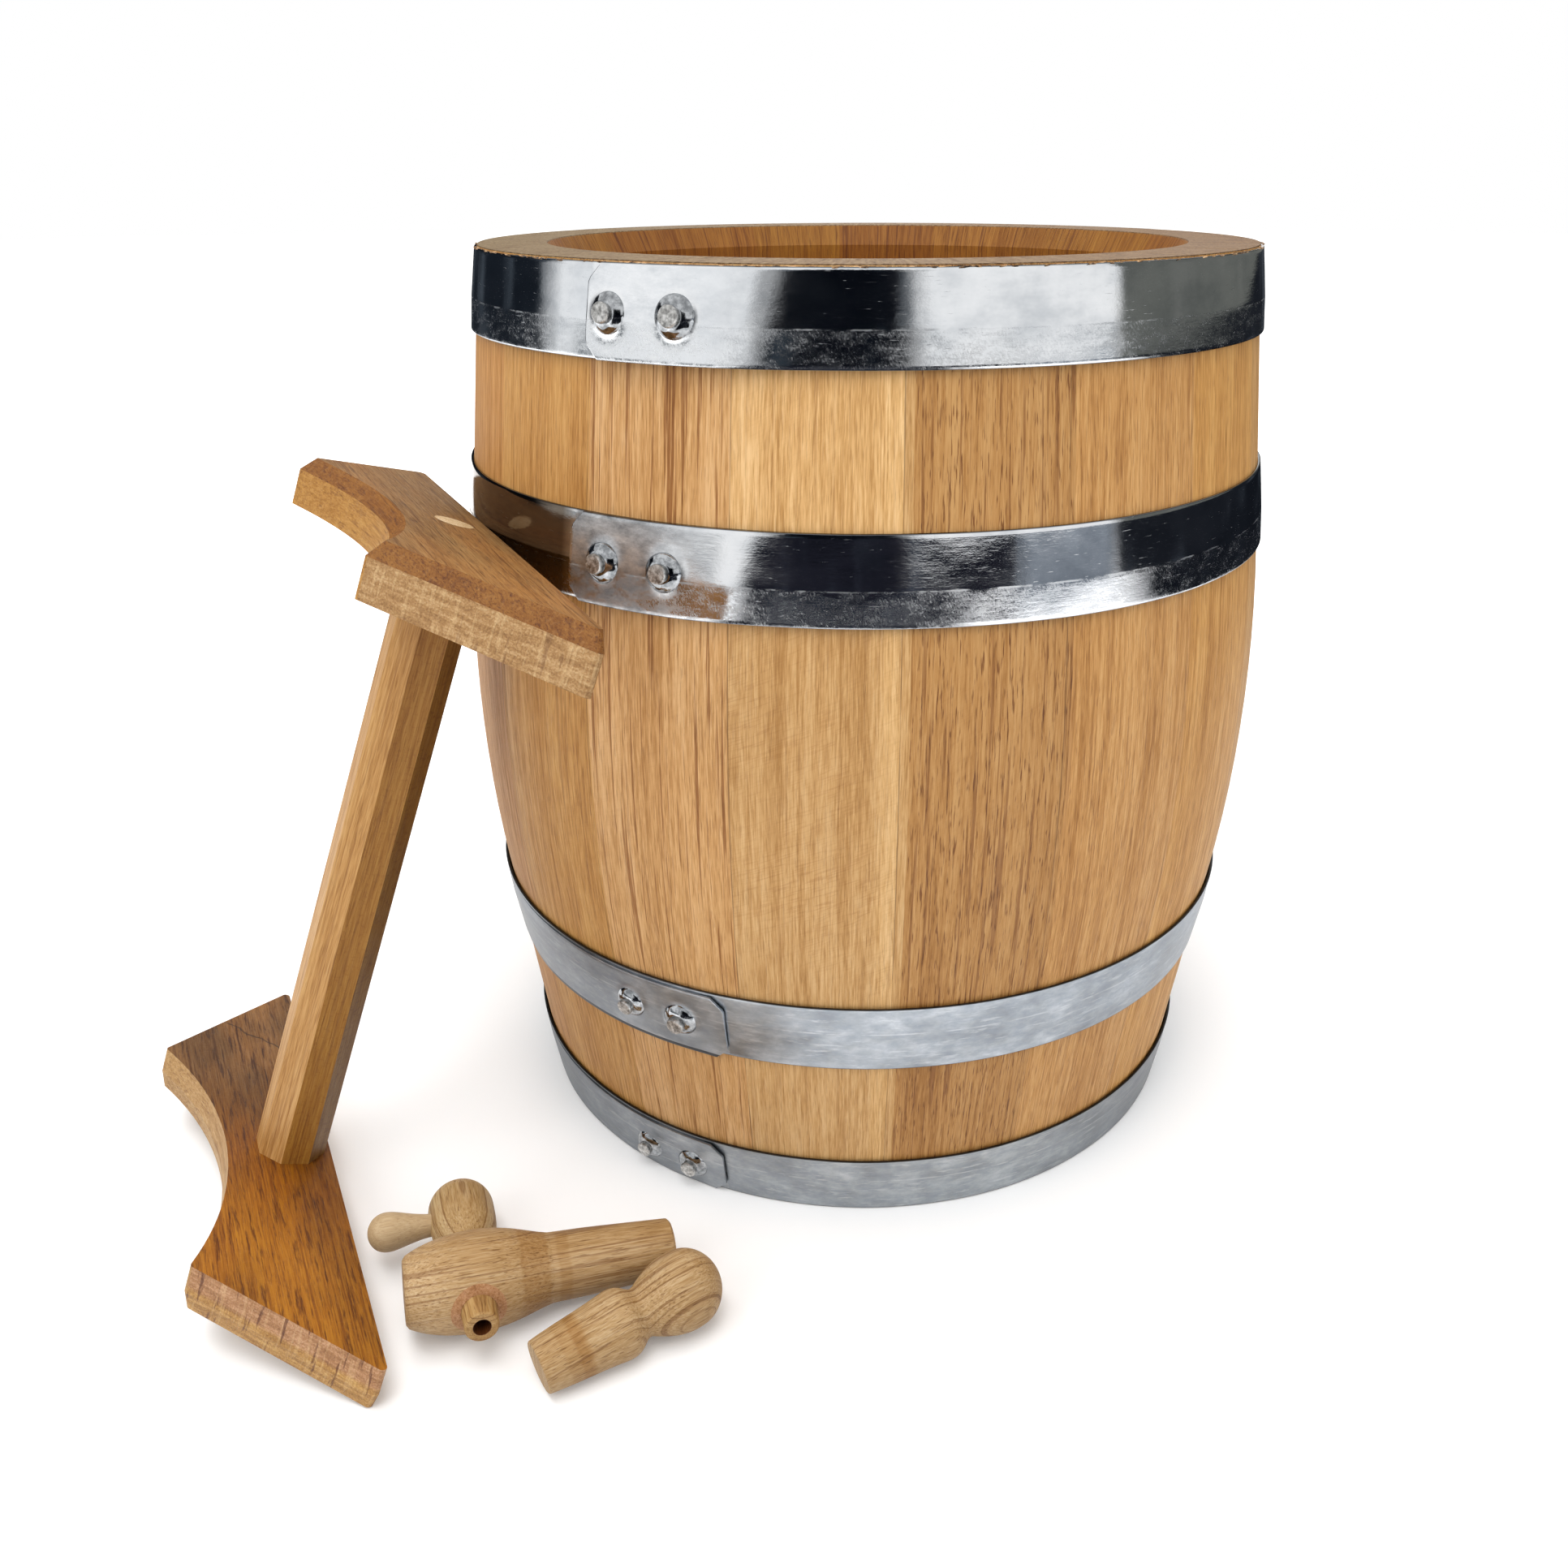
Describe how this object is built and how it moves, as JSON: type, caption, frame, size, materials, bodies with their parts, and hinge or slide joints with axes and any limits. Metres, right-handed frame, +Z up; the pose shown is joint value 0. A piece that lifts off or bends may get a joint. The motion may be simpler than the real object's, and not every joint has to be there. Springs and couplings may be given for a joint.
{
  "type": "oak cask liquor dispenser",
  "caption": "Upright oak spirits cask with riveted steel hoops, a cradle stand leaning against it, and a turned wooden tap with a turning key and a turned bung lying beside it.",
  "frame": {"origin": "centre of the cask's lower end, on the surface it stands on", "axes": "+Z up along the cask's axis, +Y from the centre out through the bung hole at the back, so the hoops' riveted laps, the tap and the bung are on the -Y side and the stand leans on the -X side"},
  "size_m": [0.4095, 0.3871, 0.32],
  "materials": {
    "stave_oak": "planed and scraped, unvarnished",
    "head_oak": "planed, unvarnished",
    "hoop_steel": "bright rolled strip with hammer marks",
    "rivet_steel": "bright, peened",
    "stand_oak": "oiled, sawn ends",
    "dowel_beech": "sanded flush",
    "tap_oak": "turned, unvarnished",
    "tap_cork": "rough cut"
  },
  "bodies": {
    "cask": {"stave_01": "stave_oak", "stave_02": "stave_oak", "stave_03": "stave_oak", "stave_04": "stave_oak", "stave_05": "stave_oak", "stave_06": "stave_oak", "stave_07": "stave_oak", "stave_08": "stave_oak", "stave_09": "stave_oak", "stave_10": "stave_oak", "stave_11": "stave_oak", "stave_12": "stave_oak", "stave_13": "stave_oak", "stave_14": "stave_oak", "stave_15": "stave_oak", "stave_16": "stave_oak", "stave_17": "stave_oak", "stave_18": "stave_oak", "head_bottom_board_1": "head_oak", "head_bottom_board_2": "head_oak", "head_bottom_board_3": "head_oak", "head_bottom_board_4": "head_oak", "head_bottom_board_5": "head_oak", "head_top_board_1": "head_oak", "head_top_board_2": "head_oak", "head_top_board_3": "head_oak", "head_top_board_4": "head_oak", "head_top_board_5": "head_oak", "hoop_chime_bottom": "hoop_steel", "hoop_quarter_bottom": "hoop_steel", "hoop_quarter_top": "hoop_steel", "hoop_chime_top": "hoop_steel", "hoop_chime_bottom_rivet_1": "rivet_steel", "hoop_chime_bottom_rivet_2": "rivet_steel", "hoop_quarter_bottom_rivet_1": "rivet_steel", "hoop_quarter_bottom_rivet_2": "rivet_steel", "hoop_quarter_top_rivet_1": "rivet_steel", "hoop_quarter_top_rivet_2": "rivet_steel", "hoop_chime_top_rivet_1": "rivet_steel", "hoop_chime_top_rivet_2": "rivet_steel"},
    "stand": {"stand_plate_lower": "stand_oak", "stand_plate_upper": "stand_oak", "stand_bar": "stand_oak", "stand_dowel_lower": "dowel_beech", "stand_dowel_upper": "dowel_beech"},
    "tap": {"tap_body": "tap_oak", "tap_sleeve": "tap_cork"},
    "key": {"tap_key": "tap_oak", "tap_handle": "tap_oak"},
    "bung": {"bung": "tap_oak"}
  },
  "joints": [
    {"name": "stand_lift", "type": "slide", "parent": "cask", "child": "stand", "axis": [0, 0, 1], "range_m": [0, 0.33]},
    {"name": "tap_lift", "type": "slide", "parent": "cask", "child": "tap", "axis": [0, 0, 1], "range_m": [0, 0.12]},
    {"name": "bung_lift", "type": "slide", "parent": "cask", "child": "bung", "axis": [0, 0, 1], "range_m": [0, 0.12]},
    {"name": "key_turn", "type": "hinge", "parent": "tap", "child": "key", "pos_m": [-0.10491, -0.19902, 0.01619], "axis": [-0.4583, 0.8806, -0.1201], "continuous": true}
  ]
}
